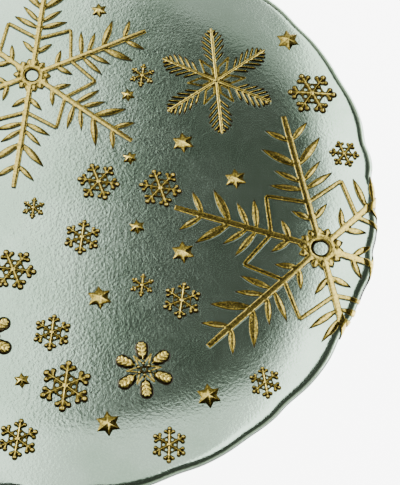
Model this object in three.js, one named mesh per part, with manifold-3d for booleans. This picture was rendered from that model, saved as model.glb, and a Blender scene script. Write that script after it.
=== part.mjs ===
// Round charger plate: a shallow glass dish with a slumped, wavy rim, carrying raised gilded
// snowflakes and stars. Millimetres, +Z up, the foot stands on z = 0 about the origin.
import * as THREE from "three";
import { mergeVertices } from "three/addons/utils/BufferGeometryUtils.js";
import Module from "manifold-3d";

const wasm = await Module();
wasm.setup();
const { Manifold, Mesh } = wasm;

// Driving sizes of the dish.
const PLATE_RADIUS = 165;
const GLASS_THICKNESS = 6;
const DISH_RISE = 6;
const BOWL_RADIUS = 110;
const TURN_RADIUS = 122;
const FLARE_RADIUS = 145;
const FOOT_RADIUS = 40;
const DISH_STEP = 14;
const LOBE_STEPS = 3;

// Driving sizes of the gilded relief.
const RELIEF_HEIGHT = 1.4;
const STAR_HEIGHT = 2.2;
const STAR_EDGE = 0.6;
const BOND_GAP = 0.35;
const EDGE_MARGIN = 4;
const FACET_LENGTH = 17;

const EDGE_ROUND = GLASS_THICKNESS / 2;
const RELIEF_LIMIT = PLATE_RADIUS - EDGE_MARGIN;
const SIXTH = Math.PI / 3;

// The hand-formed rim: where each lobe starts (degrees), the notch there and the crest after it (mm
// from the plate radius).
const RIM_LOBES = [
  [1.5, -0.8, -0.4], [8, -1.6, 0.2], [15.5, -1.0, 0.9], [30, -0.2, 0.3], [45, -0.6, 0.5],
  [59, -1.1, 0.9], [72, -0.7, 0.3], [86, -1.3, 0.6], [101, -0.5, 0.8], [115, -1.0, 0.2],
  [127, -0.8, 0.9], [142, -1.4, 0.5], [157, -0.6, 0.3], [170, -1.1, 0.8], [184, -0.9, 0.4],
  [197, -0.4, 1.0], [212, -1.2, 0.3], [226, -0.7, 0.7], [241, -1.0, 0.2], [255, -0.6, 0.9],
  [268, -1.3, 0.4], [281, -0.8, 0.6], [296, -0.5, 0.5], [310, -0.3, 0.0], [319, -0.8, 0.8],
  [336, -1.2, 0.1], [345, 0.2, 1.6], [353, -0.1, 0.7],
];

// Every raised motif: centre (mm), reach of its arms (mm) and turn of the first arm (degrees).
const FERNS = [
  { name: "fern_flake_top", x: -30, y: 66.9, reach: 69.1, turn: 30 },
  { name: "fern_flake_right", x: 135.5, y: -22.5, reach: 80.4, turn: 47.6 },
  { name: "fern_flake_left", x: -112.1, y: -49.9, reach: 58, turn: 0 },
];
const FIRS = [
  { name: "fir_flake_top", x: 72.6, y: 73.7, reach: 33.8, turn: 40 },
  { name: "fir_flake_left", x: -128, y: 48, reach: 26, turn: 41 },
];
const BLOSSOMS = [
  { name: "blossom_front", x: 50.6, y: -96.8, reach: 15.8, turn: 41.5 },
  { name: "blossom_left", x: -32.8, y: -88, reach: 17.1, turn: 40.5 },
  { name: "blossom_back", x: -72, y: 126, reach: 13, turn: 42 },
];
const FORKED = [
  { x: 126.2, y: 70.4, reach: 13.9, turn: 1.8 },
  { x: 145.5, y: 34.6, reach: 8.5, turn: 57.4 },
  { x: 14.7, y: 6.3, reach: 11.8, turn: 56.6 },
  { x: 48.2, y: 5.7, reach: 12.0, turn: 54.3 },
  { x: 10.2, y: -27, reach: 10.3, turn: 29.9 },
  { x: -22.8, y: -49.2, reach: 12.3, turn: 58.7 },
  { x: 65.9, y: -57.8, reach: 10.6, turn: 27.3 },
  { x: 2.1, y: -81.6, reach: 10.2, turn: 30.3 },
  { x: 12.8, y: -109.1, reach: 13.7, turn: 29.8 },
  { x: -6.3, y: -138.3, reach: 10.4, turn: 28.5 },
  { x: 66.9, y: -133.8, reach: 9.2, turn: 33.9 },
  { x: 111.3, y: -97.9, reach: 8.5, turn: 44.3 },
  { x: -64, y: -126, reach: 11, turn: 30 },
  { x: 20, y: 142, reach: 12, turn: 5 },
  { x: -61.5, y: 7, reach: 9, turn: 58 },
];
const ROSETTES = [
  { x: 31, y: 73.4, reach: 7.5, turn: 27.6 },
  { x: -17.7, y: -12.9, reach: 6.4, turn: 31 },
  { x: 44.6, y: -51.2, reach: 6.7, turn: 29.6 },
  { x: 60, y: 138, reach: 7, turn: 30 },
  { x: -118, y: 92, reach: 7, turn: 30 },
];
const STARS = [
  { x: 24.3, y: 60.6, reach: 4.2, turn: 41 },
  { x: 57.7, y: 34.2, reach: 6.4, turn: 41 },
  { x: 29.8, y: 22.3, reach: 4.3, turn: 42 },
  { x: 38.2, y: -18.2, reach: 4.6, turn: 41 },
  { x: 88, y: 14.6, reach: 6.3, turn: 41 },
  { x: 63.9, y: -30.5, reach: 6.6, turn: 41 },
  { x: 23.5, y: -60.1, reach: 6.8, turn: 43 },
  { x: -9.1, y: -108.5, reach: 4.4, turn: 43 },
  { x: 36.1, y: -126.3, reach: 6.6, turn: 42 },
  { x: 83.9, y: -107.5, reach: 6.6, turn: 43 },
  { x: 110.6, y: 103.6, reach: 6.9, turn: 42 },
  { x: 2, y: 112.2, reach: 5, turn: 43 },
  { x: -59.9, y: -66.2, reach: 6, turn: 43 },
  { x: -98.1, y: 66.1, reach: 5.5, turn: 43 },
  { x: -38, y: -122, reach: 6, turn: 43 },
  { x: -100, y: 120, reach: 5, turn: 43 },
];

// The dish steepens evenly out to the bowl radius, climbs straight to the turn, and eases level by
// the flare radius. It is faceted in rings one dish step wide.
function rise(radius) {
  const bowl = BOWL_RADIUS / 2;
  const climb = TURN_RADIUS - BOWL_RADIUS;
  const ease = FLARE_RADIUS - TURN_RADIUS;
  const slope = DISH_RISE / (bowl + climb + ease / 2);
  if (radius < BOWL_RADIUS) {
    return slope * bowl * (radius / BOWL_RADIUS) ** 2;
  }
  if (radius < TURN_RADIUS) {
    return slope * (bowl + radius - BOWL_RADIUS);
  }
  const past = Math.min(radius, FLARE_RADIUS) - TURN_RADIUS;
  return slope * (bowl + climb + past - past * past / (2 * ease));
}

function ringRadii() {
  const count = Math.round(FLARE_RADIUS / DISH_STEP);
  return Array.from({ length: count + 1 }, (_, k) => FLARE_RADIUS * k / count);
}

function topHeight(x, y) {
  const radius = Math.hypot(x, y);
  const rings = ringRadii();
  const step = rings[1];
  const inner = step * Math.floor(radius / step);
  const low = rise(inner);
  return GLASS_THICKNESS + low + (rise(inner + step) - low) * (radius - inner) / step;
}

function underHeight(radius) {
  const foot = rise(FOOT_RADIUS);
  return DISH_RISE * (rise(radius) - foot) / (DISH_RISE - foot);
}

function lobeSlices() {
  const slices = [];
  RIM_LOBES.forEach(([start, notch, crest], k) => {
    const next = k + 1 < RIM_LOBES.length ? RIM_LOBES[k + 1] : RIM_LOBES[0];
    const span = (next[0] - start + 360) % 360;
    for (let s = 0; s < LOBE_STEPS; s++) {
      const t = s / LOBE_STEPS;
      const base = notch + (next[1] - notch) * t;
      slices.push({
        azimuth: THREE.MathUtils.degToRad(start + span * t),
        offset: base + (crest - base) * Math.sin(Math.PI * t),
      });
    }
  });
  return slices;
}

function dishProfile() {
  const edgeHeight = GLASS_THICKNESS + DISH_RISE - EDGE_ROUND;
  const edgeCentre = PLATE_RADIUS - EDGE_ROUND;
  const profile = [new THREE.Vector2(0, 0), new THREE.Vector2(FOOT_RADIUS, 0)];
  for (let k = 1; k <= 4; k++) {
    const radius = THREE.MathUtils.lerp(FOOT_RADIUS, FLARE_RADIUS, k / 4);
    profile.push(new THREE.Vector2(radius, underHeight(radius)));
  }
  for (let k = 0; k <= 4; k++) {
    const turn = -Math.PI / 2 + Math.PI * k / 4;
    const radius = edgeCentre + EDGE_ROUND * Math.cos(turn);
    profile.push(new THREE.Vector2(radius, edgeHeight + EDGE_ROUND * Math.sin(turn)));
  }
  for (const radius of ringRadii().reverse()) {
    profile.push(new THREE.Vector2(radius, GLASS_THICKNESS + rise(radius)));
  }
  return profile;
}

// The glass: one turned profile whose rim is then drawn in and out into lobes.
function dish() {
  const slices = lobeSlices();
  const profile = dishProfile();
  const geometry = new THREE.LatheGeometry(profile, slices.length);
  geometry.rotateX(Math.PI / 2);
  const position = geometry.attributes.position;
  for (let k = 0; k < position.count; k++) {
    const slice = slices[Math.floor(k / profile.length) % slices.length];
    const radius = profile[k % profile.length].x;
    const share = Math.max(0, (radius - FLARE_RADIUS) / (PLATE_RADIUS - FLARE_RADIUS));
    const moved = radius + slice.offset * share;
    position.setX(k, moved * Math.cos(slice.azimuth));
    position.setY(k, moved * Math.sin(slice.azimuth));
  }
  return welded(geometry);
}

// Vertices in one place become one, and faces that this leaves with no area go.
function welded(geometry) {
  geometry.deleteAttribute("normal");
  geometry.deleteAttribute("uv");
  const merged = mergeVertices(geometry, 1e-4);
  const faces = [];
  for (let f = 0; f < merged.index.count; f += 3) {
    const [a, b, c] = [0, 1, 2].map((s) => merged.index.getX(f + s));
    if (a !== b && b !== c && c !== a) {
      faces.push(a, b, c);
    }
  }
  merged.setIndex(faces);
  return merged;
}

function solid(geometry) {
  const plain = welded(geometry);
  return new Manifold(new Mesh({
    numProp: 3,
    vertProperties: Float32Array.from(plain.attributes.position.array),
    triVerts: Uint32Array.from(plain.index.array),
  }));
}

// Faces left in one plane by the joins are merged before the mesh is read back.
function geometryOf(manifold) {
  const mesh = manifold.asOriginal().simplify(0.01).getMesh();
  const geometry = new THREE.BufferGeometry();
  geometry.setAttribute("position", new THREE.BufferAttribute(mesh.vertProperties, 3));
  geometry.setIndex(new THREE.BufferAttribute(mesh.triVerts, 1));
  return geometry;
}

function slab(points, holes = []) {
  const shape = new THREE.Shape(points.map(([x, y]) => new THREE.Vector2(x, y)));
  holes.forEach((hole) => shape.holes.push(new THREE.Path(hole.map(([x, y]) => new THREE.Vector2(x, y)))));
  return solid(new THREE.ExtrudeGeometry(shape, { depth: RELIEF_HEIGHT, bevelEnabled: false }));
}

// A point at a polar place, and the outlines every motif is put together from.
function polar(radius, angle) {
  return [radius * Math.cos(angle), radius * Math.sin(angle)];
}

function from([x, y], distance, angle) {
  return [x + distance * Math.cos(angle), y + distance * Math.sin(angle)];
}

function bar(start, end, width) {
  const angle = Math.atan2(end[1] - start[1], end[0] - start[0]);
  const side = angle + Math.PI / 2;
  return [from(start, -width / 2, side), from(end, -width / 2, side),
    from(end, width / 2, side), from(start, width / 2, side)];
}

function leaf(root, angle, length, width) {
  const belly = from(root, 0.45 * length, angle);
  const side = angle + Math.PI / 2;
  return [root, from(belly, -width / 2, side), from(root, length, angle), from(belly, width / 2, side)];
}

function spike(root, angle, length, width) {
  const side = angle + Math.PI / 2;
  return [from(root, -width / 2, side), from(root, length, angle), from(root, width / 2, side)];
}

function ring(count, outer, inner, phase = 0) {
  const points = [];
  for (let k = 0; k < count; k++) {
    points.push(polar(k % 2 ? inner : outer, phase + 2 * Math.PI * k / count));
  }
  return points;
}

function ellipse(centre, angle, length, width, count) {
  const points = [];
  for (let k = 0; k < count; k++) {
    const t = 2 * Math.PI * (k + 0.5) / count;
    const along = from(centre, 0.5 * length * Math.cos(t), angle);
    points.push(from(along, 0.5 * width * Math.sin(t), angle + Math.PI / 2));
  }
  return points;
}

// How far along an arm the relief may run before it meets the rounded edge of the glass.
function armRoom(place, angle) {
  const heading = THREE.MathUtils.degToRad(place.turn) + angle;
  const along = place.x * Math.cos(heading) + place.y * Math.sin(heading);
  const across = place.x * Math.sin(heading) - place.y * Math.cos(heading);
  return Math.sqrt(RELIEF_LIMIT ** 2 - across ** 2) - along;
}

// Fern flake: six ribs with pairs of leaves, a chevron between each two ribs and a toothed eye.
const FERN_LEAVES = [[0.2, 0.16, 50, 0.06], [0.43, 0.24, 70, 0.06], [0.485, 0.21, 50, 0.06],
  [0.61, 0.275, 48, 0.075], [0.8, 0.195, 50, 0.065]];

function fern(place) {
  const size = place.reach;
  const parts = [slab(ring(12, 0.13 * size, 0.1 * size, SIXTH / 2), [ring(6, 0.045 * size, 0.045 * size)])];
  for (let k = 0; k < 6; k++) {
    const angle = k * SIXTH;
    const room = Math.min(size, armRoom(place, angle));
    parts.push(slab(bar(polar(0.09 * size, angle), polar(room, angle), 0.05 * size)));
    for (const hand of [-1, 1]) {
      for (const [at, length, splay, width] of FERN_LEAVES) {
        if (at * size < room - 0.05 * size) {
          const heading = angle + hand * THREE.MathUtils.degToRad(splay);
          parts.push(slab(spike(polar(at * size, angle), heading, length * size, width * size)));
        }
      }
      if (0.335 * size < room) {
        const corner = polar(0.51 * size, angle + hand * SIXTH / 2);
        parts.push(slab(bar(polar(0.335 * size, angle), corner, 0.03 * size)));
      }
    }
  }
  return trimmed(Manifold.union(parts), place);
}

// Fir flake: six barbed sprigs around a star of six hollow diamonds.
const FIR_BARBS = [[0.34, 0.22], [0.46, 0.27], [0.58, 0.26], [0.7, 0.21], [0.82, 0.14]];

function fir(place) {
  const size = place.reach;
  const parts = [slab(ring(12, 0.12 * size, 0.12 * size))];
  for (let k = 0; k < 6; k++) {
    const angle = k * SIXTH;
    parts.push(slab(bar([0, 0], polar(size, angle), 0.055 * size)));
    for (const hand of [-1, 1]) {
      for (const [at, length] of FIR_BARBS) {
        const heading = angle + hand * THREE.MathUtils.degToRad(42);
        parts.push(slab(spike(polar(at * size, angle), heading, length * size, 0.075 * size)));
      }
    }
    const bisector = angle + SIXTH / 2;
    parts.push(slab(leaf(polar(0.05 * size, bisector), bisector, 0.43 * size, 0.17 * size),
      [leaf(polar(0.15 * size, bisector), bisector, 0.24 * size, 0.08 * size)]));
  }
  return Manifold.union(parts);
}

// Forked flake: a scalloped hub and six arms, each ending in three blunt prongs.
function forked(place) {
  const size = place.reach;
  const parts = [slab(ring(12, 0.36 * size, 0.45 * size))];
  for (let k = 0; k < 6; k++) {
    const angle = k * SIXTH;
    parts.push(slab(bar([0, 0], polar(size, angle), 0.15 * size)));
    for (const hand of [-1, 1]) {
      const fork = polar(0.58 * size, angle);
      const heading = angle + hand * THREE.MathUtils.degToRad(50);
      parts.push(slab(spike(fork, heading, 0.36 * size, 0.17 * size)));
    }
  }
  return Manifold.union(parts);
}

// Rosette: a small thick flake whose six arms are blunt paddles.
function rosette(place) {
  const size = place.reach;
  const parts = [slab(ring(12, 0.42 * size, 0.5 * size))];
  for (let k = 0; k < 6; k++) {
    const angle = k * SIXTH;
    parts.push(slab(bar([0, 0], polar(size, angle), 0.2 * size)));
    parts.push(slab(ring(4, 0.2 * size, 0.2 * size).map(([x, y]) => from([x, y], 0.78 * size, angle))));
  }
  return Manifold.union(parts);
}

// Blossom: six rounded petals, a pointed leaf between each two, and a round middle.
function blossom(place) {
  const size = place.reach;
  const parts = [slab(ring(12, 0.4 * size, 0.4 * size))];
  for (let k = 0; k < 6; k++) {
    const angle = k * SIXTH;
    const bisector = angle + SIXTH / 2;
    parts.push(slab(ellipse(polar(0.67 * size, angle), angle, 0.68 * size, 0.5 * size, 10)));
    parts.push(slab(leaf(polar(0.2 * size, bisector), bisector, 0.66 * size, 0.14 * size)));
  }
  return Manifold.union(parts);
}

// Star: six points, a low edge and six ridges climbing to one peak.
function star(place) {
  const profile = [[0, 0], [place.reach, 0], [place.reach, STAR_EDGE], [0, STAR_HEIGHT]];
  const geometry = new THREE.LatheGeometry(profile.map(([x, y]) => new THREE.Vector2(x, y)), 12);
  geometry.rotateX(Math.PI / 2);
  const position = geometry.attributes.position;
  for (let k = 0; k < position.count; k++) {
    const slice = Math.floor(k / profile.length);
    const radius = profile[k % profile.length][0] * (slice % 2 ? 0.56 : 1);
    position.setX(k, radius * Math.cos(slice * Math.PI / 6));
    position.setY(k, radius * Math.sin(slice * Math.PI / 6));
  }
  return welded(geometry);
}

// Anything past the start of the rounded edge is left off.
function trimmed(manifold, place) {
  const disc = new THREE.CylinderGeometry(RELIEF_LIMIT, RELIEF_LIMIT, 4 * RELIEF_HEIGHT, 96);
  disc.rotateX(Math.PI / 2);
  disc.translate(-place.x, -place.y, 0);
  disc.rotateZ(-THREE.MathUtils.degToRad(place.turn));
  return manifold.intersect(solid(disc));
}

// Long facets are halved until each is short enough to follow the dish.
function halved(geometry) {
  const points = Array.from(geometry.attributes.position.array);
  let faces = Array.from(geometry.index.array);
  const far = (a, b) => Math.hypot(points[3 * a] - points[3 * b], points[3 * a + 1] - points[3 * b + 1]);
  for (let busy = true; busy;) {
    busy = false;
    const middles = new Map();
    const middle = (a, b) => {
      const key = Math.min(a, b) + "_" + Math.max(a, b);
      if (!middles.has(key)) {
        middles.set(key, points.length / 3);
        for (let c = 0; c < 3; c++) {
          points.push((points[3 * a + c] + points[3 * b + c]) / 2);
        }
      }
      return middles.get(key);
    };
    const next = [];
    for (let f = 0; f < faces.length; f += 3) {
      const corners = faces.slice(f, f + 3);
      const lengths = corners.map((a, c) => far(a, corners[(c + 1) % 3]));
      const longest = lengths.indexOf(Math.max(...lengths));
      const [a, b, c] = [0, 1, 2].map((s) => corners[(longest + s) % 3]);
      const cuts = [0, 1, 2].map((s) => lengths[(longest + s) % 3] > FACET_LENGTH);
      if (!cuts[0]) {
        next.push(a, b, c);
        continue;
      }
      busy = true;
      const ab = middle(a, b);
      if (cuts[1]) {
        const bc = middle(b, c);
        next.push(ab, b, bc, ab, bc, c);
      } else {
        next.push(ab, b, c);
      }
      if (cuts[2]) {
        const ca = middle(c, a);
        next.push(a, ab, ca, ca, ab, c);
      } else {
        next.push(a, ab, c);
      }
    }
    faces = next;
  }
  const split = new THREE.BufferGeometry();
  split.setAttribute("position", new THREE.BufferAttribute(Float32Array.from(points), 3));
  split.setIndex(faces);
  return split;
}

// A motif is made flat, laid over the dish along its own place and turn, and held a bond's width off.
function draped(geometry, place) {
  const turn = THREE.MathUtils.degToRad(place.turn);
  const position = geometry.attributes.position;
  const centre = topHeight(place.x, place.y);
  for (let k = 0; k < position.count; k++) {
    const x = position.getX(k);
    const y = position.getY(k);
    const outX = place.x + x * Math.cos(turn) - y * Math.sin(turn);
    const outY = place.y + x * Math.sin(turn) + y * Math.cos(turn);
    position.setZ(k, position.getZ(k) + topHeight(outX, outY) - centre);
  }
  return geometry;
}

function finished(geometry, name, colour, roughness, metalness) {
  const flat = geometry.toNonIndexed();
  flat.computeVertexNormals();
  const material = new THREE.MeshStandardMaterial({ color: colour, roughness, metalness });
  const mesh = new THREE.Mesh(flat, material);
  mesh.name = name;
  return mesh;
}

function gilded(geometry, name, place) {
  const mesh = finished(draped(geometry, place), name, 0xc9a650, 0.34, 0.9);
  mesh.position.set(place.x, place.y, topHeight(place.x, place.y) + BOND_GAP);
  mesh.rotation.z = THREE.MathUtils.degToRad(place.turn);
  return mesh;
}

const plate = new THREE.Group();
plate.name = "charger_plate";
plate.add(finished(dish(), "plate_body", 0xb9c8bc, 0.3, 0.4));

const relief = new THREE.Group();
relief.name = "gilded_relief";
plate.add(relief);

function addFamily(places, shape, family) {
  const group = new THREE.Group();
  group.name = family + "_group";
  places.forEach((place, k) => {
    const name = place.name ?? family + "_" + String(k + 1).padStart(2, "0");
    const made = shape(place);
    const geometry = made instanceof Manifold ? geometryOf(made) : made;
    group.add(gilded(halved(geometry), name, place));
  });
  relief.add(group);
}

addFamily(FERNS, fern, "fern_flake");
addFamily(FIRS, fir, "fir_flake");
addFamily(BLOSSOMS, blossom, "blossom");
addFamily(FORKED, forked, "forked_flake");
addFamily(ROSETTES, rosette, "rosette");
addFamily(STARS, star, "star");

export default plate;
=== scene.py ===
import math

import bmesh
import bpy
import numpy as np
from bpy.props import FloatProperty, FloatVectorProperty, PointerProperty
from mathutils import Matrix, Vector, noise


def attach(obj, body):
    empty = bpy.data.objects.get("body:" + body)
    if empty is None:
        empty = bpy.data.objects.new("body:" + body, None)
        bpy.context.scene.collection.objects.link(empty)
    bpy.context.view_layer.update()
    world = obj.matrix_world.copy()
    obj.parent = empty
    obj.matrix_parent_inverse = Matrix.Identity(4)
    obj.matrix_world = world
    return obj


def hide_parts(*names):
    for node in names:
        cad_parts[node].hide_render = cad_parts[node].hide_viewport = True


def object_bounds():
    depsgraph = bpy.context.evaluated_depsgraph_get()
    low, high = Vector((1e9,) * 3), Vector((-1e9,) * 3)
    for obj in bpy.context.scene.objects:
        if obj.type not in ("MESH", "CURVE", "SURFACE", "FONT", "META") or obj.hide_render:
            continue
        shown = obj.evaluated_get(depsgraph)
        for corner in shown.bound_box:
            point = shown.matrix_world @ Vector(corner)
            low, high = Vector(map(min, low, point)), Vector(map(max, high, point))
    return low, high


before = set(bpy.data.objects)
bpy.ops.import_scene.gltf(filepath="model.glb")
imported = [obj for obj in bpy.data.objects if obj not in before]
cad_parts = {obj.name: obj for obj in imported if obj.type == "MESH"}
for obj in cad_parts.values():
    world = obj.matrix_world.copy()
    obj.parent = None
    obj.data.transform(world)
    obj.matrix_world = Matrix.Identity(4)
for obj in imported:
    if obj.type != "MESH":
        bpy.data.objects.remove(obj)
CAD_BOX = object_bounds()

bl_info = {
    "name": "Charger plate with gilded snowflakes",
    "version": (1, 0, 0),
    "blender": (4, 5, 0),
    "location": "View3D > Sidebar > Charger plate",
    "description": "Builds a glass charger plate with a wavy rim and raised gilded flakes",
    "category": "Object",
}

MM = 0.001
BODY = "root"
DISH_NODE = "plate_body"
SIXTH = math.pi / 3
PLATE_RADIUS = 165 * MM
RIM_INSET = 0.55 * MM  # the visible rim stands this far inside the CAD one, lobes and all
RIM_MEAN = PLATE_RADIUS - RIM_INSET
ARM_LIMIT = 166.5 * MM  # a flat arm is cut at this radius, before the edge rolls it over


def node_points(name):
    """Every corner of a CAD node, as an array of metres."""
    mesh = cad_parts[name].data
    points = np.empty(len(mesh.vertices) * 3, np.float32)
    mesh.vertices.foreach_get("co", points)
    return points.reshape(-1, 3).astype(float)


DISH_POINTS = node_points(DISH_NODE)
DISH_RADII = np.hypot(DISH_POINTS[:, 0], DISH_POINTS[:, 1])
DISH_TOP = float(DISH_POINTS[:, 2].max())
GLASS = float(DISH_POINTS[DISH_RADII < MM, 2].max())  # the face's height in the middle


# ---------------------------------------------------------------- sizes and finishes

class PlateSizes(bpy.types.PropertyGroup):
    """Sizes of the dish and of the relief on it."""

    bowl_radius: FloatProperty(
        name="Bowl radius", description="Where the dish stops steepening",
        default=110 * MM, unit="LENGTH")
    turn_radius: FloatProperty(
        name="Turn radius", description="Where the dish starts to ease level",
        default=122 * MM, unit="LENGTH")
    flare_radius: FloatProperty(
        name="Flare radius", description="Where the rim is level", default=145 * MM, unit="LENGTH")
    foot_radius: FloatProperty(
        name="Foot radius", description="Radius of the flat foot", default=40 * MM, unit="LENGTH")
    roll_width: FloatProperty(
        name="Edge roll", description="How far in the rounded edge starts",
        default=5.6 * MM, unit="LENGTH")
    relief: FloatProperty(
        name="Relief", description="Height of the raised motifs", default=1.55 * MM, unit="LENGTH")
    star_height: FloatProperty(
        name="Star height", description="Height of a star's peak", default=2.2 * MM, unit="LENGTH")
    sink: FloatProperty(
        name="Sink", description="How deep the relief is set into the glass",
        default=0.25 * MM, unit="LENGTH")


class PlateColours(bpy.types.PropertyGroup):
    """Colours of the lacquer and the gilding."""

    lacquer: FloatVectorProperty(
        name="Lacquer", description="Pearl sage of the face", subtype="COLOR",
        default=(0.54, 0.72, 0.565), min=0, max=1)
    lacquer_deep: FloatVectorProperty(
        name="Lacquer, deep", description="Where the lacquer lies thicker", subtype="COLOR",
        default=(0.43, 0.60, 0.45), min=0, max=1)
    # painted shade: this near black stands in for the shade on the rolled edge and under the rim
    edge: FloatVectorProperty(
        name="Edge", description="The bare dark edge of the glass", subtype="COLOR",
        default=(0.010, 0.015, 0.010), min=0, max=1)
    # painted shade: the gold is darkened so that the flanks read as shaded
    gold_with_painted_shade: FloatVectorProperty(
        name="Gold", description="The gilding on the flanks", subtype="COLOR",
        default=(0.16, 0.12, 0.018), min=0, max=1)
    # partly wear, partly a painted highlight on the crests
    worn_gold_and_painted_highlight: FloatVectorProperty(
        name="Gold, worn", description="The gilding rubbed bright on the ridges", subtype="COLOR",
        default=(0.72, 0.57, 0.14), min=0, max=1)
    # partly a dark wash in the hollows, partly painted shade on the foot and low flanks
    patina_and_painted_shade: FloatVectorProperty(
        name="Patina", description="The dark wash left in the corners", subtype="COLOR",
        default=(0.022, 0.016, 0.006), min=0, max=1)


def sizes():
    return bpy.context.scene.plate_sizes


def colours():
    return bpy.context.scene.plate_colours


# ---------------------------------------------------------------- shader expressions

TEXTURE_DEPTH = 0.06 * MM

class Wire:
    """One value of a node tree. Arithmetic on it adds Math nodes."""

    def __init__(self, tree, socket):
        self.tree = tree
        self.socket = socket

    def make(self, kind, inputs=None, output=0, **settings):
        """Adds a node: its settings first, then its sockets' values or links."""
        node = self.tree.nodes.new(kind)
        for name, value in settings.items():
            setattr(node, name, value)
        for name, value in (inputs or {}).items():
            if isinstance(value, Wire):
                self.tree.links.new(value.socket, node.inputs[name])
            else:
                node.inputs[name].default_value = value
        return Wire(self.tree, node.outputs[output])

    def math(self, operation, first, second):
        return self.make("ShaderNodeMath", {0: first, 1: second}, operation=operation)

    def __add__(self, other):
        return self.math("ADD", self, other)

    def __radd__(self, other):
        return self.math("ADD", other, self)

    def __sub__(self, other):
        return self.math("SUBTRACT", self, other)

    def __rsub__(self, other):
        return self.math("SUBTRACT", other, self)

    def __mul__(self, other):
        return self.math("MULTIPLY", self, other)

    def __rmul__(self, other):
        return self.math("MULTIPLY", other, self)

    def clamped(self, low, high):
        """Runs from 0 at low to 1 at high, eased at both ends."""
        return self.make(
            "ShaderNodeMapRange", {0: self, 1: low, 2: high}, interpolation_type="SMOOTHSTEP")

    def blend(self, low, high):
        """A colour between low and high, by this value."""
        low = low if isinstance(low, Wire) else (*low, 1.0)
        high = high if isinstance(high, Wire) else (*high, 1.0)
        return self.make("ShaderNodeMix", {0: self, 6: low, 7: high}, output=2, data_type="RGBA")

    def grain(self, scale, detail=2.0, roughness=0.5):
        """Noise over this place, at a scale per metre."""
        return self.make(
            "ShaderNodeTexNoise",
            {"Vector": self, "Scale": scale, "Detail": detail, "Roughness": roughness})

    def bumped(self, strength):
        """A normal from this height, over the finish's own depth of texture."""
        return self.make(
            "ShaderNodeBump", {"Strength": strength, "Distance": TEXTURE_DEPTH, "Height": self})


def new_material(name):
    """An empty material, its shader node and the object's own coordinates."""
    material = bpy.data.materials.new(name)
    material.use_nodes = True
    tree = material.node_tree
    shader = tree.nodes["Principled BSDF"]
    place = Wire(tree, tree.nodes.new("ShaderNodeTexCoord").outputs["Object"])
    return material, shader, place


def plug(shader, name, wire):
    wire.tree.links.new(wire.socket, shader.inputs[name])


PEARL_METALLIC = 0.98


def lacquer_material():
    """Pearl sage lacquer with an orange peel, with painted shade, near black and not metallic, over
    the rolled edge and under the rim.
    """
    tint = colours()
    material, shader, place = new_material("pearl_sage_lacquer")
    roll = place.make("ShaderNodeAttribute", output=2, attribute_name="edge_roll")
    # painted shade: the outer part of the edge roll and the rim's underside turn near black and
    # lose their metal
    painted_shade = roll.clamped(0.80, 0.98)
    cloud = place.grain(22.0, 3.0).clamped(0.35, 0.68)
    pearl = cloud.blend(tint.lacquer_deep, tint.lacquer)
    fleck = place.grain(1400.0, 1.0).clamped(0.4, 0.75) * 0.10 + 0.95
    pearl = place.make(
        "ShaderNodeMix", {0: 1.0, 6: pearl, 7: fleck}, output=2,
        data_type="RGBA", blend_type="MULTIPLY")
    plug(shader, "Base Color", painted_shade.blend(pearl, tint.edge))
    plug(shader, "Metallic", PEARL_METALLIC - painted_shade * PEARL_METALLIC)
    plug(shader, "Roughness", place.grain(160.0) * 0.05 + 0.115)
    peel = place.grain(680.0, 2.0, 0.55) + place.grain(260.0, 1.0) * 0.3
    plug(shader, "Normal", peel.bumped(0.9))
    shader.inputs["Specular IOR Level"].default_value = 0.12
    return material


def gilding_material():
    """Gilding over a dark wash, rubbed bright where the relief stands highest: the dark foot and
    flanks are partly painted shade, the bright crests partly a painted highlight.
    """
    tint = colours()
    material, shader, place = new_material("antiqued_gilding")
    relief = place.make("ShaderNodeAttribute", output=2, attribute_name="relief")
    wear = place.grain(900.0)
    height = relief + (wear - 0.5) * 0.30
    # by relief height: near black low down, dark gold on the flanks, bright at the crests; painted
    # shade and a painted highlight, partly wash and wear
    flank_wash_and_painted_shade = height.clamped(0.62, 0.94).blend(tint.patina_and_painted_shade, tint.gold_with_painted_shade)
    plug(shader, "Base Color", height.clamped(0.84, 1.04).blend(flank_wash_and_painted_shade, tint.worn_gold_and_painted_highlight))
    plug(shader, "Metallic", height.clamped(0.30, 0.70) * 0.6 + 0.4)
    plug(shader, "Roughness", 0.30 - height.clamped(0.2, 0.8) * 0.15 + (wear - 0.5) * 0.08)
    plug(shader, "Normal", place.grain(1100.0).bumped(0.3))
    return material


def floor_material():
    """A near-white ground that gives off light, as a lit table does."""
    material, shader, place = new_material("pale_floor")
    pale = place.grain(9.0).clamped(0.3, 0.7).blend((0.86, 0.86, 0.86), (0.90, 0.90, 0.90))
    plug(shader, "Base Color", pale)
    shader.inputs["Roughness"].default_value = 0.9
    shader.inputs["Emission Color"].default_value = (1, 1, 1, 1)
    shader.inputs["Emission Strength"].default_value = 7.0
    return material


def finish_of(name):
    """The named material, made the first time it is asked for."""
    makers = {
        "pearl_sage_lacquer": lacquer_material,
        "antiqued_gilding": gilding_material,
        "pale_floor": floor_material,
    }
    return bpy.data.materials.get(name) or makers[name]()


# ---------------------------------------------------------------- modelling helpers

def only(*objects):
    """Selects just these objects, the last one active."""
    bpy.ops.object.select_all(action="DESELECT")
    for item in objects:
        item.select_set(True)
        bpy.context.view_layer.objects.active = item


def pick(wanted, kind="verts"):
    """In edit mode, selects just the corners, edges or faces that the test accepts."""
    mesh = bmesh.from_edit_mesh(bpy.context.edit_object.data)
    bpy.ops.mesh.select_all(action="DESELECT")
    modes = ("verts", "edges", "faces")
    bpy.context.tool_settings.mesh_select_mode = [mode == kind for mode in modes]
    for item in getattr(mesh, kind):
        item.select_set(bool(wanted(item)))
    mesh.select_flush_mode()
    bmesh.update_edit_mesh(bpy.context.edit_object.data)


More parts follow.
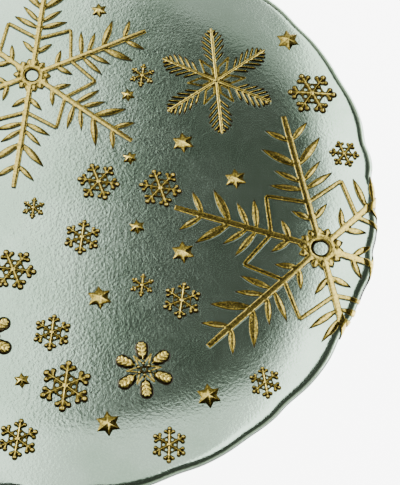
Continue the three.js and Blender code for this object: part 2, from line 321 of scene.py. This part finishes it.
def settle():
    """Writes the active object's place into its mesh."""
    bpy.ops.object.transform_apply(location=True, rotation=True, scale=True)
    return bpy.context.object


def positions(mesh):
    points = np.empty(len(mesh.vertices) * 3, np.float32)
    mesh.vertices.foreach_get("co", points)
    return points.reshape(-1, 3).astype(float)


def set_positions(mesh, points):
    mesh.vertices.foreach_set("co", np.asarray(points, np.float32).ravel())
    mesh.update()


def set_value(mesh, name, values):
    layer = mesh.attributes.new(name, "FLOAT", "POINT")
    layer.data.foreach_set("value", np.asarray(values, np.float32))


def copied(template, matrix):
    """A copy of a piece with its own mesh, in the scene, its corners moved by the matrix."""
    twin = template.copy()
    twin.data = template.data.copy()
    twin.data.transform(matrix)
    bpy.context.scene.collection.objects.link(twin)
    return twin


def dropped(*objects):
    for item in objects:
        mesh = item.data
        bpy.data.objects.remove(item)
        bpy.data.meshes.remove(mesh)


def finished_piece(piece, material, node):
    """Gives a piece its finish and ties it to the frame."""
    piece.data.materials.clear()
    piece.data.materials.append(finish_of(material))
    only(piece)
    bpy.ops.object.shade_smooth()
    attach(piece, BODY)
    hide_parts(node)
    return piece


# ---------------------------------------------------------------- the glass

def rise(radius):
    """Height of the face above its middle, at each radius."""
    size = sizes()
    bowl = size.bowl_radius / 2
    climb = size.turn_radius - size.bowl_radius
    ease = size.flare_radius - size.turn_radius
    slope = (DISH_TOP - GLASS) / (bowl + climb + ease / 2)
    radius = np.asarray(radius, float)
    past = np.clip(radius, size.turn_radius, size.flare_radius) - size.turn_radius
    inner = slope * bowl * (radius / size.bowl_radius) ** 2
    middle = slope * (bowl + radius - size.bowl_radius)
    outer = slope * (bowl + climb + past - past ** 2 / (2 * ease))
    beyond = np.where(radius < size.turn_radius, middle, outer)
    return np.where(radius < size.bowl_radius, inner, beyond)


def rim_outline():
    """Azimuth and radius of the CAD rim's outermost corners, in order round the plate."""
    level = np.abs(DISH_POINTS[:, 2] - (DISH_TOP - GLASS / 2)) < 0.05 * MM
    outer = DISH_POINTS[level & (DISH_RADII > sizes().flare_radius)]
    azimuth = np.round(np.arctan2(outer[:, 1], outer[:, 0]), 4)
    azimuth, first = np.unique(azimuth, return_index=True)
    return azimuth, np.hypot(outer[first, 0], outer[first, 1])


def rim_radius(azimuth):
    """The hand-formed rim: soft lobes through the outline, a little inside it."""
    angles, radii = rim_outline()
    count = len(angles)
    azimuth = (np.asarray(azimuth, float) - angles[0]) % (2 * math.pi) + angles[0]
    at = np.searchsorted(angles, azimuth, side="right") - 1
    ends = np.append(angles, angles[0] + 2 * math.pi)
    share = (azimuth - ends[at]) / (ends[at + 1] - ends[at])
    before, start, end, after = (radii[(at + k) % count] for k in (-1, 0, 1, 2))
    curve = start + 0.5 * share * (end - before + share * (
        2 * before - 5 * start + 4 * end - after + share * (3 * (start - end) + after - before)))
    return curve - RIM_INSET


def rim_sway(azimuth):
    """How far the soft rim sagged or lifted as it was formed."""
    azimuth = np.asarray(azimuth, float)
    return MM * (0.35 * np.sin(3 * azimuth + 0.7) + 0.22 * np.sin(7 * azimuth + 2.1)
                 + 0.12 * np.sin(17 * azimuth + 0.4) - 0.5)


def rim_share(radius):
    """How much of the rim's lobes and sway a radius takes: none inside the flare, all outside."""
    flare = sizes().flare_radius
    return np.clip((np.asarray(radius, float) - flare) / (PLATE_RADIUS - flare), 0, 1)


def sway_at(radius, azimuth):
    return rim_sway(azimuth) * rim_share(radius) ** 2


ROLL_PACE = 0.78  # share of the roll's width that a motif walks for each radian it turns over
ROLL_END = 1.75  # radians
ROLL_THINNING = 0.45  # share of its height that a motif loses as it turns over


def glass_face(x, y, lift):
    """Points a lift above the face at plan places x, y, carried round the rolled edge beyond it."""
    size = sizes()
    azimuth = np.arctan2(y, x)
    reach = np.hypot(x, y)
    edge = rim_radius(azimuth)
    start = edge - size.roll_width
    turn = np.clip((reach - start) / (ROLL_PACE * size.roll_width), 0, ROLL_END)
    drop = 0.5 * GLASS
    slope = (rise(reach + 0.5 * MM) - rise(reach - 0.5 * MM)) / MM
    flat = reach < start
    radius = np.where(flat, reach, start + size.roll_width * np.sin(turn))
    height = GLASS + rise(radius) + sway_at(radius, azimuth)
    height = height - np.where(flat, 0, drop * (1 - np.cos(turn)))
    out = np.where(flat, -slope, drop * np.sin(turn))
    up = np.where(flat, 1, size.roll_width * np.cos(turn))
    norm = np.hypot(out, up)
    lift = lift * np.where(flat, 1, 1 - ROLL_THINNING * np.clip(turn, 0, 1))
    radius = radius + lift * out / norm
    height = height + lift * up / norm
    return np.stack([radius * np.cos(azimuth), radius * np.sin(azimuth), height], 1)


def turned(name, outline, steps):
    """A body turned from an outline that starts and ends on the axis: extruded, then spun."""
    only()
    bpy.ops.mesh.primitive_plane_add(size=MM)
    shape = bpy.context.object
    shape.name = name
    bpy.ops.object.mode_set(mode="EDIT")
    bpy.ops.mesh.select_all(action="SELECT")
    bpy.ops.mesh.merge(type="CENTER")
    corners = [Vector((radius, 0, height)) for radius, height in outline]
    bpy.ops.transform.translate(value=corners[0])
    for here, there in zip(corners, corners[1:]):
        bpy.ops.mesh.extrude_vertices_move(TRANSFORM_OT_translate={"value": there - here})
    bpy.ops.mesh.select_all(action="SELECT")
    bpy.ops.mesh.spin(steps=steps, angle=2 * math.pi, center=(0, 0, 0), axis=(0, 0, 1))
    bpy.ops.mesh.select_all(action="SELECT")
    bpy.ops.mesh.remove_doubles(threshold=0.01 * MM)
    bpy.ops.mesh.normals_make_consistent(inside=False)
    bpy.ops.object.mode_set(mode="OBJECT")
    return shape


LIP = 3 * MM  # width of the edge's lower quarter
UNDER_LIFT = 0.12 * MM  # the underside stands clear of the foot's plane by this
UNDER_STEPS, LIP_STEPS, ROLL_STEPS, FACE_STEPS = 14, 6, 10, 66
ROUND_STEPS = 360


def dish_outline():
    """The section's radii and heights, from the middle of the foot to the middle of the face."""
    size = sizes()
    foot = float(rise(size.foot_radius))
    depth = DISH_TOP - GLASS
    outline = [(0, 0), (0.5 * size.foot_radius, 0), (size.foot_radius - MM, 0)]
    for radius in np.linspace(size.foot_radius, RIM_MEAN - LIP - 0.2 * MM, UNDER_STEPS):
        outline.append((radius, depth * (float(rise(radius)) - foot) / (depth - foot) + UNDER_LIFT))
    middle = depth + GLASS / 2
    lower = GLASS / 2 - 0.1 * MM
    for angle in np.radians(np.linspace(-80, 0, LIP_STEPS)):
        outline.append((RIM_MEAN - LIP + LIP * math.cos(angle), middle + lower * math.sin(angle)))
    start = RIM_MEAN - size.roll_width
    for angle in np.radians(np.linspace(9, 90, ROLL_STEPS)):
        outline.append(
            (start + size.roll_width * math.cos(angle), middle + GLASS / 2 * math.sin(angle)))
    for radius in np.linspace(start, 0, FACE_STEPS)[1:]:
        outline.append((radius, GLASS + float(rise(radius))))
    return outline


RIPPLE = 0.010 * MM
RIPPLE_LONG, RIPPLE_SHORT = 11 * MM, 5 * MM
UNDER_SHADE_FROM, UNDER_SHADE_FADE = 150 * MM, 10 * MM  # the underside gets painted shade outside this, faded in


def rippled(x, y):
    """The slow unevenness that lacquer dries with."""
    return noise.noise(Vector((x, y, 0)) / RIPPLE_LONG) + 0.6 * noise.noise(
        Vector((x, y, 0.05)) / RIPPLE_SHORT)


class PLATE_OT_dish(bpy.types.Operator):
    """The glass dish: a turned body whose rim is drawn into lobes and sways"""

    bl_idname = "plate.dish"
    bl_label = "Glass dish"

    def execute(self, context):
        roll_width = sizes().roll_width
        dish = turned("glass_dish", dish_outline(), ROUND_STEPS)
        points = positions(dish.data)
        level = points[:, 2]
        azimuth = np.arctan2(points[:, 1], points[:, 0])
        radius = np.hypot(points[:, 0], points[:, 1])
        lobed = rim_share(radius / RIM_MEAN * PLATE_RADIUS)
        moved = radius + (rim_radius(azimuth) - RIM_MEAN) * lobed
        upper = level > GLASS + rise(radius) - GLASS * 0.6
        ripple = np.array([rippled(x, y) for x, y, _ in points])
        height = level + sway_at(radius, azimuth) + np.where(upper, RIPPLE * ripple, 0)
        set_positions(
            dish.data, np.stack([moved * np.cos(azimuth), moved * np.sin(azimuth), height], 1))
        roll = np.clip((radius - (RIM_MEAN - roll_width)) / roll_width, 0, 1)
        # painted shade under the rim, fading in past 150 mm
        under_shade = np.clip((radius - UNDER_SHADE_FROM) / UNDER_SHADE_FADE, 0, 1)
        # the mask of the lacquer's painted shade: the roll's share on the face, the fade underneath
        set_value(dish.data, "edge_roll", np.where(level < DISH_TOP - GLASS / 2, under_shade, roll))
        finished_piece(dish, "pearl_sage_lacquer", DISH_NODE)
        return {"FINISHED"}


# ---------------------------------------------------------------- the relief

def unit_blade(name, widths, heights, wall):
    """A ridged bar one long, one wide and one high on x, shaped station by station.

    Its sides rise to the wall, a share of its height, and its ridge is above that.
    """
    only()
    bpy.ops.mesh.primitive_cube_add(size=1, location=(0.5, 0, 0.5))
    blade = settle()
    blade.name = name
    last = len(widths) - 1
    bpy.ops.object.mode_set(mode="EDIT")
    pick(lambda edge: abs(edge.verts[0].co.x - edge.verts[1].co.x) > 0.5, "edges")
    bpy.ops.mesh.subdivide(number_cuts=last - 1)
    pick(lambda edge: abs(edge.verts[0].co.y - edge.verts[1].co.y) > 0.5, "edges")
    bpy.ops.mesh.subdivide(number_cuts=1)
    pick(lambda vert: vert.co.z > 0.9 and abs(vert.co.y) > 0.4)
    bpy.ops.transform.translate(value=(0, 0, wall - 1))
    for station, (width, height) in enumerate(zip(widths, heights)):
        pick(lambda vert: abs(vert.co.x - station / last) < 0.01)
        bpy.ops.transform.resize(value=(1, width, height), center_override=(station / last, 0, 0))
    bpy.ops.object.mode_set(mode="OBJECT")
    return blade


def upper_half(name):
    """The active object, cut flat at its own middle and closed there."""
    shape = bpy.context.object
    shape.name = name
    bpy.ops.object.mode_set(mode="EDIT")
    bpy.ops.mesh.select_all(action="SELECT")
    bpy.ops.mesh.bisect(plane_co=(0, 0, 0), plane_no=(0, 0, 1), clear_inner=True, use_fill=True)
    bpy.ops.object.mode_set(mode="OBJECT")
    return shape


def unit_ring(name, width):
    """A flattened ring of outer radius one and about height one, its band the given width."""
    only()
    bpy.ops.mesh.primitive_torus_add(
        major_radius=1 - width / 2, minor_radius=width / 2, major_segments=28, minor_segments=10)
    bpy.context.object.scale = (1, 1, 1.9 / width)
    settle()
    return upper_half(name)


def unit_dome(name):
    """A low dome of radius one and height one."""
    only()
    bpy.ops.mesh.primitive_uv_sphere_add(segments=20, ring_count=12, radius=1)
    return upper_half(name)


TALL = 1.6  # a motif is stretched upwards by this while it is cast, for finer steps in height


class Relief:
    """Gathers the blades, rings and domes of one flat motif and casts them into one body."""

    def __init__(self, tools):
        self.tools = tools
        self.height = sizes().relief
        self.parts = []

    def blade(self, tool, root, angle, length, width, height=1.0):
        """A bar from root, at an angle on the flat, its height a share of the relief's."""
        matrix = Matrix.Translation((*root, 0)) @ Matrix.Rotation(angle, 4, "Z") @ Matrix.Diagonal(
            (length, width, height * self.height, 1))
        self.parts.append(copied(self.tools[tool], matrix))

    def leg(self, tool, start, end, width, height=1.0, stretch=1.0):
        """A bar from start towards end, run on past it by the stretch."""
        along = end - start
        heading = math.atan2(along.y, along.x)
        self.blade(tool, start, heading, stretch * along.length, width, height)

    def round(self, tool, centre, radius, height=1.0):
        """A ring or dome about centre, its height a share of the relief's."""
        matrix = Matrix.Translation((*centre, 0)) @ Matrix.Diagonal(
            (radius, radius, height * self.height, 1))
        self.parts.append(copied(self.tools[tool], matrix))

    def cast(self, voxel, smoothing=1):
        """Joins the parts and flows them into one skin."""
        only(*self.parts)
        bpy.ops.object.join()
        motif = bpy.context.object
        motif.data.transform(Matrix.Diagonal((1, 1, TALL, 1)))
        motif.data.remesh_voxel_size = voxel
        bpy.ops.object.voxel_remesh()
        bpy.ops.object.modifier_add(type="SMOOTH")
        motif.modifiers[0].factor = 0.5
        motif.modifiers[0].iterations = smoothing
        bpy.ops.object.modifier_apply(modifier=motif.modifiers[0].name)
        motif.data.transform(Matrix.Diagonal((1, 1, 1 / TALL, 1)))
        return motif


def polar(radius, angle):
    return Vector((radius * math.cos(angle), radius * math.sin(angle)))


def relief_tools():
    """The blades, rings and domes that every motif is put together from."""
    return {
        "rib": unit_blade(
            "tool_rib", (0.9, 1, 1, 1, 1, 1, 0.8), (1, 1, 1, 1, 1, 1, 0.95), 0.94),
        "leaf": unit_blade(
            "tool_leaf", (0.35, 0.55, 0.8, 0.97, 1, 0.93, 0.72, 0.42, 0.08),
            (0.8, 0.9, 0.97, 1, 1, 0.98, 0.93, 0.85, 0.6), 0.88),
        "prong": unit_blade(
            "tool_prong", (0.8, 0.85, 0.9, 1, 1, 0.6), (1, 1, 1, 1, 0.95, 0.6), 0.62),
        "ring": unit_ring("tool_ring", 0.62),
        "dome": unit_dome("tool_dome"),
    }


# place along the rib, length, angle from the rib in degrees, width: shares of the flake's reach
FERN_LEAVES = (
    (0.20, 0.16, 50, 0.042),
    (0.43, 0.235, 68, 0.044),
    (0.485, 0.21, 50, 0.040),
    (0.61, 0.275, 48, 0.058),
    (0.80, 0.195, 50, 0.042),
)
FERN_EYE = 0.085
FERN_TEETH = 14
CHEVRON_FOOT, CHEVRON_TIP = 0.335, 0.515
ARM_SPARE = 2 * MM  # an arm carries nothing nearer its end than this


def fern_relief(tools, reach, rooms):
    """Six ribs with pairs of leaves, a chevron between each two ribs, and a toothed eye."""
    motif = Relief(tools)
    motif.round("ring", (0, 0), 0.115 * reach, 1.05)
    for k in range(FERN_TEETH):
        tooth = k * 2 * math.pi / FERN_TEETH
        motif.blade("leaf", polar(FERN_EYE * reach, tooth), tooth, 0.068 * reach, 0.05 * reach)
    for k in range(6):
        angle = k * SIXTH
        room = min(reach, rooms[k])
        eye = FERN_EYE * reach
        motif.blade("rib", polar(eye, angle), angle, room - eye, 0.044 * reach)
        for hand in (-1, 1):
            for at, length, splay, width in FERN_LEAVES:
                if at * reach < room - ARM_SPARE:
                    root = polar(at * reach, angle)
                    heading = angle + hand * math.radians(splay)
                    motif.blade("leaf", root, heading, length * reach, width * reach)
            if CHEVRON_FOOT * reach < room - ARM_SPARE:
                foot = polar(CHEVRON_FOOT * reach, angle)
                tip = polar(CHEVRON_TIP * reach, angle + hand * SIXTH / 2)
                motif.leg("rib", foot, tip, 0.029 * reach, 0.95)
    return motif.cast(0.46 * MM, 2)


# place along the sprig and length: shares of the flake's reach
FIR_BARBS = ((0.34, 0.25), (0.45, 0.29), (0.56, 0.29), (0.67, 0.25), (0.78, 0.18), (0.88, 0.10))


def fir_relief(tools, reach):
    """Six sprigs of parallel barbs round a star of hollow diamonds."""
    motif = Relief(tools)
    motif.round("dome", (0, 0), 0.07 * reach, 1.1)
    for k in range(6):
        angle = k * SIXTH
        motif.blade("rib", (0, 0), angle, 0.98 * reach, 0.045 * reach, 1.05)
        for hand in (-1, 1):
            for at, length in FIR_BARBS:
                heading = angle + hand * math.radians(41)
                root = polar(at * reach, angle)
                motif.blade("prong", root, heading, length * reach, 0.048 * reach)
            bisector = angle + SIXTH / 2
            near = polar(0.07 * reach, bisector)
            side = polar(0.25 * reach, bisector + hand * 0.30)
            far = polar(0.47 * reach, bisector)
            for start, end in ((near, side), (side, far)):
                motif.leg("rib", start, end, 0.036 * reach, 0.9, 1.06)
    return motif.cast(0.34 * MM)


def forked_relief(tools, reach):
    """A pierced hub and six arms that each end in three plump lobes."""
    motif = Relief(tools)
    motif.round("dome", (0, 0), 0.17 * reach, 1.1)
    for k in range(6):
        angle = k * SIXTH
        motif.round("ring", polar(0.31 * reach, angle + SIXTH / 2), 0.16 * reach, 0.85)
        motif.blade("prong", (0, 0), angle, 0.92 * reach, 0.17 * reach)
        motif.round("dome", polar(0.86 * reach, angle), 0.145 * reach)
        motif.round("dome", polar(0.43 * reach, angle), 0.12 * reach, 0.9)
        for hand in (-1, 1):
            fork = angle + hand * math.radians(54)
            root = polar(0.56 * reach, angle)
            motif.blade("prong", root, fork, 0.26 * reach, 0.17 * reach, 0.95)
            motif.round("dome", root + polar(0.25 * reach, fork), 0.125 * reach, 0.95)
            shoulder = angle + hand * math.radians(62)
            base = polar(0.36 * reach, angle)
            motif.blade("prong", base, shoulder, 0.17 * reach, 0.14 * reach, 0.85)
    return motif.cast(0.25 * MM)


def rosette_relief(tools, reach):
    """A small close flake with six blunt paddles."""
    motif = Relief(tools)
    motif.round("dome", (0, 0), 0.22 * reach, 1.1)
    for k in range(6):
        angle = k * SIXTH
        motif.round("ring", polar(0.38 * reach, angle + SIXTH / 2), 0.18 * reach, 0.85)
        motif.blade("prong", (0, 0), angle, 0.92 * reach, 0.21 * reach)
        motif.round("dome", polar(0.84 * reach, angle), 0.165 * reach)
        for hand in (-1, 1):
            fork = angle + hand * math.radians(52)
            motif.blade("prong", polar(0.56 * reach, angle), fork, 0.3 * reach, 0.2 * reach)
    return motif.cast(0.19 * MM)


def blossom_relief(tools, reach):
    """Six crinkled club petals, a pointed leaf between each two, and a beaded middle."""
    motif = Relief(tools)
    motif.round("ring", (0, 0), 0.15 * reach, 0.8)
    for k in range(6):
        angle = k * SIXTH
        motif.round("dome", polar(0.19 * reach, angle), 0.06 * reach, 1.1)
        for at, girth in ((0.50, 0.17), (0.62, 0.22), (0.76, 0.235)):
            motif.round("dome", polar(at * reach, angle), girth * reach, 0.95)
        motif.blade("prong", polar(0.30 * reach, angle), angle, 0.60 * reach, 0.07 * reach, 1.3)
        for hand in (-1, 1):
            for at, length in ((0.42, 0.20), (0.55, 0.24), (0.69, 0.22), (0.82, 0.13)):
                crinkle = angle + hand * math.radians(38)
                root = polar(at * reach, angle)
                motif.blade("leaf", root, crinkle, length * reach, 0.08 * reach, 1.3)
            foot = polar(0.24 * reach, angle + SIXTH / 2 - hand * 0.30)
            tip = polar(0.56 * reach, angle + SIXTH / 2)
            motif.leg("rib", foot, tip, 0.055 * reach, 0.95)
    return motif.cast(0.24 * MM)


STAR_WAIST = 0.60  # how far in the corners between a star's points are drawn
STAR_WALL = 0.5 * MM
STAR_FLATTENING = 0.85
STAR_ROUNDING = 0.12 * MM


def between_points(vert):
    """Whether this corner lies at a star's foot and between two of its points."""
    step = round(math.atan2(vert.co.y, vert.co.x) / (SIXTH / 2))
    return vert.co.z < 0.1 * MM and step % 2 != 0


def star_relief(reach):
    """A cone with every other foot corner drawn in, its six ridges softened, on a low wall."""
    only()
    height = sizes().star_height
    bpy.ops.mesh.primitive_cone_add(
        vertices=12, radius1=reach, radius2=0, depth=height, location=(0, 0, height / 2))
    star = settle()
    bpy.ops.object.mode_set(mode="EDIT")
    pick(between_points)
    bpy.ops.transform.resize(value=(STAR_WAIST, STAR_WAIST, 1), center_override=(0, 0, 0))
    pick(lambda face: len(face.verts) > 4, "faces")
    bpy.ops.mesh.extrude_region_move(TRANSFORM_OT_translate={"value": (0, 0, -STAR_WALL)})
    bpy.ops.object.mode_set(mode="OBJECT")
    star.data.transform(
        Matrix.Translation((0, 0, STAR_WALL)) @ Matrix.Diagonal((1, 1, STAR_FLATTENING, 1)))
    bpy.ops.object.modifier_add(type="BEVEL")
    star.modifiers[0].width = STAR_ROUNDING
    star.modifiers[0].segments = 2
    bpy.ops.object.modifier_apply(modifier=star.modifiers[0].name)
    return star


TIP_SHARE = 0.992  # corners past this share of a motif's reach are the tips of its arms


class Stand:
    """Where a motif stands on the plate, read from the CAD node it takes the place of."""

    def __init__(self, node, centre=None):
        points = node_points(node)[:, :2]
        low, high = points.min(0), points.max(0)
        self.node = node
        self.centre = np.array(centre) if centre else (low + high) / 2
        offsets = points - self.centre
        reach = np.hypot(offsets[:, 0], offsets[:, 1])
        tips = offsets[reach > TIP_SHARE * reach.max()]
        folded = np.exp(6j * np.arctan2(tips[:, 1], tips[:, 0])).mean()  # six arms read as one
        self.turn = float(np.angle(folded)) / 6
        self.reach = float(reach.max())


def draped(motif, stand, height):
    """Turns a flat motif to its stand, lays it over the face and sets it into the glass.

    The gilding is brightest, worn and partly a painted highlight, from the given height up, and
    darker below it with painted shade. Nothing passes the CAD's box.
    """
    motif.name = stand.node + "_gilt"
    points = positions(motif.data)
    cos, sin = math.cos(stand.turn), math.sin(stand.turn)
    x = stand.centre[0] + points[:, 0] * cos - points[:, 1] * sin
    y = stand.centre[1] + points[:, 0] * sin + points[:, 1] * cos
    lift = points[:, 2] - sizes().sink
    # the relief share that places the gilding's painted shade low down and its painted highlight at
    # the crest
    set_value(motif.data, "relief", np.clip(points[:, 2] / height, 0, 1))
    set_positions(motif.data, np.clip(glass_face(x, y, lift), CAD_BOX[0], CAD_BOX[1]))
    return finished_piece(motif, "antiqued_gilding", stand.node)


# middle x and y, reach, and turn in degrees: the right and left ones run past their CAD nodes,
# over the edge
FERN_PLACES = {
    "fern_flake_top": (-30 * MM, 66.9 * MM, 69.1 * MM, 30.0),
    "fern_flake_right": (135.5 * MM, -22.5 * MM, 80.4 * MM, 47.6),
    "fern_flake_left": (-112.1 * MM, -49.9 * MM, 58 * MM, 0.0),
}


def arm_rooms(stand):
    """How far each arm can run before it has turned over the edge."""
    rooms = []
    for k in range(6):
        heading = stand.turn + k * SIXTH
        along = stand.centre[0] * math.cos(heading) + stand.centre[1] * math.sin(heading)
        across = stand.centre[0] * math.sin(heading) - stand.centre[1] * math.cos(heading)
        rooms.append(math.sqrt(ARM_LIMIT ** 2 - across ** 2) - along)
    return rooms


class PLATE_OT_ferns(bpy.types.Operator):
    """The large fern flakes, two of which run over the edge of the glass"""

    bl_idname = "plate.ferns"
    bl_label = "Fern flakes"

    def execute(self, context):
        tools = relief_tools()
        for node, (x, y, reach, turn) in FERN_PLACES.items():
            stand = Stand(node, (x, y))
            stand.turn = math.radians(turn)
            motif = fern_relief(tools, reach, arm_rooms(stand))
            draped(motif, stand, sizes().relief)
        dropped(*tools.values())
        return {"FINISHED"}


def repeated(prefix, template, reach, height):
    """Lays a copy of a flat motif over each node of its kind, sized to it."""
    pieces = []
    for node in sorted(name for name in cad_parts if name.startswith(prefix)):
        stand = Stand(node)
        scale = stand.reach / reach
        sized = copied(template, Matrix.Diagonal((scale, scale, 1, 1)))
        pieces.append(draped(sized, stand, height))
    dropped(template)
    return pieces


def laid_by_kind(prefix, relief_maker, reach):
    """Makes and lays every flake of one kind, with relief tools of its own."""
    tools = relief_tools()
    repeated(prefix, relief_maker(tools, reach), reach, sizes().relief)
    dropped(*tools.values())


class PLATE_OT_firs(bpy.types.Operator):
    """The fir flakes, with six barbed sprigs"""

    bl_idname = "plate.firs"
    bl_label = "Fir flakes"

    def execute(self, context):
        laid_by_kind("fir_flake", fir_relief, 34 * MM)
        return {"FINISHED"}


class PLATE_OT_forked(bpy.types.Operator):
    """The forked flakes, with a pierced hub and three-lobed arms"""

    bl_idname = "plate.forked"
    bl_label = "Forked flakes"

    def execute(self, context):
        laid_by_kind("forked_flake", forked_relief, 12 * MM)
        return {"FINISHED"}


class PLATE_OT_rosettes(bpy.types.Operator):
    """The small close flakes"""

    bl_idname = "plate.rosettes"
    bl_label = "Rosettes"

    def execute(self, context):
        laid_by_kind("rosette", rosette_relief, 7 * MM)
        return {"FINISHED"}


class PLATE_OT_blossoms(bpy.types.Operator):
    """The crinkled six-petal blossoms"""

    bl_idname = "plate.blossoms"
    bl_label = "Blossoms"

    def execute(self, context):
        laid_by_kind("blossom", blossom_relief, 16 * MM)
        return {"FINISHED"}


class PLATE_OT_stars(bpy.types.Operator):
    """The faceted six-pointed stars"""

    bl_idname = "plate.stars"
    bl_label = "Stars"

    def execute(self, context):
        reach = 6 * MM
        for piece in repeated("star", star_relief(reach), reach, 0.3 * sizes().star_height):
            only(piece)
            bpy.ops.object.shade_smooth_by_angle(angle=math.radians(20))
        return {"FINISHED"}


# ---------------------------------------------------------------- stage

def card(name, centre, target, width, height, radiance):
    """A soft rectangular light at centre, facing target."""
    light = bpy.data.lights.new(name, "AREA")
    light.shape = "RECTANGLE"
    light.size = width
    light.size_y = height
    light.energy = radiance * math.pi * width * height
    lamp = bpy.data.objects.new(name, light)
    lamp.location = centre
    lamp.rotation_euler = (Vector(target) - Vector(centre)).to_track_quat("-Z", "Y").to_euler()
    bpy.context.scene.collection.objects.link(lamp)


CARD_LEVEL = 0.6
NUDGE = 1e-5  # keeps a card that faces straight down square to x and y


def overhead(name, across, along, radiance):
    """A card level above the plate, over the given stretches of x and y."""
    x, y = sum(across) / 2, sum(along) / 2
    width, height = across[1] - across[0], along[1] - along[0]
    card(name, (x, y, CARD_LEVEL), (x, y + NUDGE, 0), width, height, radiance)


FLOOR_LEVEL = -0.6 * MM
FLOOR_SIZE = 8
LENS = 85.65  # millimetres, for a sensor 36 mm on its long side
VIEW_TARGET = Vector((72.19, -19.14, -3.5)) * MM
VIEW_DISTANCE = 620 * MM
VIEW_ELEVATION, VIEW_ROLL = math.radians(66.785), math.radians(5.58)


class PLATE_OT_stage(bpy.types.Operator):
    """The camera, a pale floor and soft studio light"""

    bl_idname = "plate.stage"
    bl_label = "Camera, floor and light"

    def execute(self, context):
        scene = context.scene
        camera = bpy.data.cameras.new("view")
        camera.lens = LENS
        camera.sensor_width = 36
        camera.clip_start = 0.01
        camera.clip_end = 20
        viewer = bpy.data.objects.new("view", camera)
        scene.collection.objects.link(viewer)
        scene.camera = viewer
        sine, cosine = math.sin(VIEW_ELEVATION), math.cos(VIEW_ELEVATION)
        right = Vector((1, 0, 0))
        up = Vector((0, sine, cosine))
        back = Vector((0, -cosine, sine))
        across = right * math.cos(VIEW_ROLL) + up * math.sin(VIEW_ROLL)
        over = up * math.cos(VIEW_ROLL) - right * math.sin(VIEW_ROLL)
        pose = Matrix((across, over, back)).transposed().to_4x4()
        pose.translation = VIEW_TARGET + back * VIEW_DISTANCE
        viewer.matrix_world = pose

        only()
        bpy.ops.mesh.primitive_plane_add(size=FLOOR_SIZE, location=(0, 0, FLOOR_LEVEL))
        floor = settle()
        floor.name = "floor"
        floor.data.materials.append(finish_of("pale_floor"))

        world = bpy.data.worlds.new("studio")
        scene.world = world
        world.use_nodes = True
        backdrop = world.node_tree.nodes["Background"]
        backdrop.inputs["Color"].default_value = (1.0, 1.0, 0.84, 1)
        tree = world.node_tree
        heading = Wire(tree, tree.nodes.new("ShaderNodeTexCoord").outputs["Generated"])
        height = heading.make("ShaderNodeSeparateXYZ", {0: heading}, output=2)
        plug(backdrop, "Strength", (1 - height.clamped(0.30, 0.58)) * 0.75 + 0.05)

        overhead("card_left", (-1.30, -0.07), (-0.30, 0.80), 2.5)
        overhead("card_right", (0.19, 0.40), (-0.30, 0.80), 3.7)
        overhead("card_right_soft", (0.15, 0.19), (0.075, 0.80), 1.0)
        overhead("card_front", (-0.07, 0.19), (-0.30, 0.075), 1.3)
        overhead("card_back", (-0.07, 0.15), (0.41, 0.70), 0.5)
        card("strip_right", (1.20, 0.25, 0.17), (0.1, 0, 0.03), 1.3, 0.2, 5.0)
        card("strip_left", (-1.10, 0.30, 0.34), (0, 0, 0), 1.0, 0.35, 12.0)
        return {"FINISHED"}


# ---------------------------------------------------------------- add-on

class PLATE_PT_panel(bpy.types.Panel):
    """Lists the steps that build the plate"""

    bl_idname = "PLATE_PT_panel"
    bl_label = "Charger plate"
    bl_space_type = "VIEW_3D"
    bl_region_type = "UI"
    bl_category = "Charger plate"

    def draw(self, context):
        for step in STEPS:
            self.layout.operator(step.bl_idname)
        for group in (context.scene.plate_sizes, context.scene.plate_colours):
            for name in group.__annotations__:
                self.layout.prop(group, name)


STEPS = (
    PLATE_OT_stage, PLATE_OT_dish, PLATE_OT_ferns, PLATE_OT_firs,
    PLATE_OT_forked, PLATE_OT_rosettes, PLATE_OT_blossoms, PLATE_OT_stars,
)
CLASSES = (PlateSizes, PlateColours, *STEPS, PLATE_PT_panel)


def register():
    for item in CLASSES:
        bpy.utils.register_class(item)
    bpy.types.Scene.plate_sizes = PointerProperty(type=PlateSizes)
    bpy.types.Scene.plate_colours = PointerProperty(type=PlateColours)


def unregister():
    del bpy.types.Scene.plate_colours
    del bpy.types.Scene.plate_sizes
    for item in reversed(CLASSES):
        bpy.utils.unregister_class(item)


def main():
    register()
    bpy.ops.plate.stage()
    bpy.ops.plate.dish()
    bpy.ops.plate.ferns()
    bpy.ops.plate.firs()
    bpy.ops.plate.forked()
    bpy.ops.plate.rosettes()
    bpy.ops.plate.blossoms()
    bpy.ops.plate.stars()


if __name__ == "__main__":
    main()
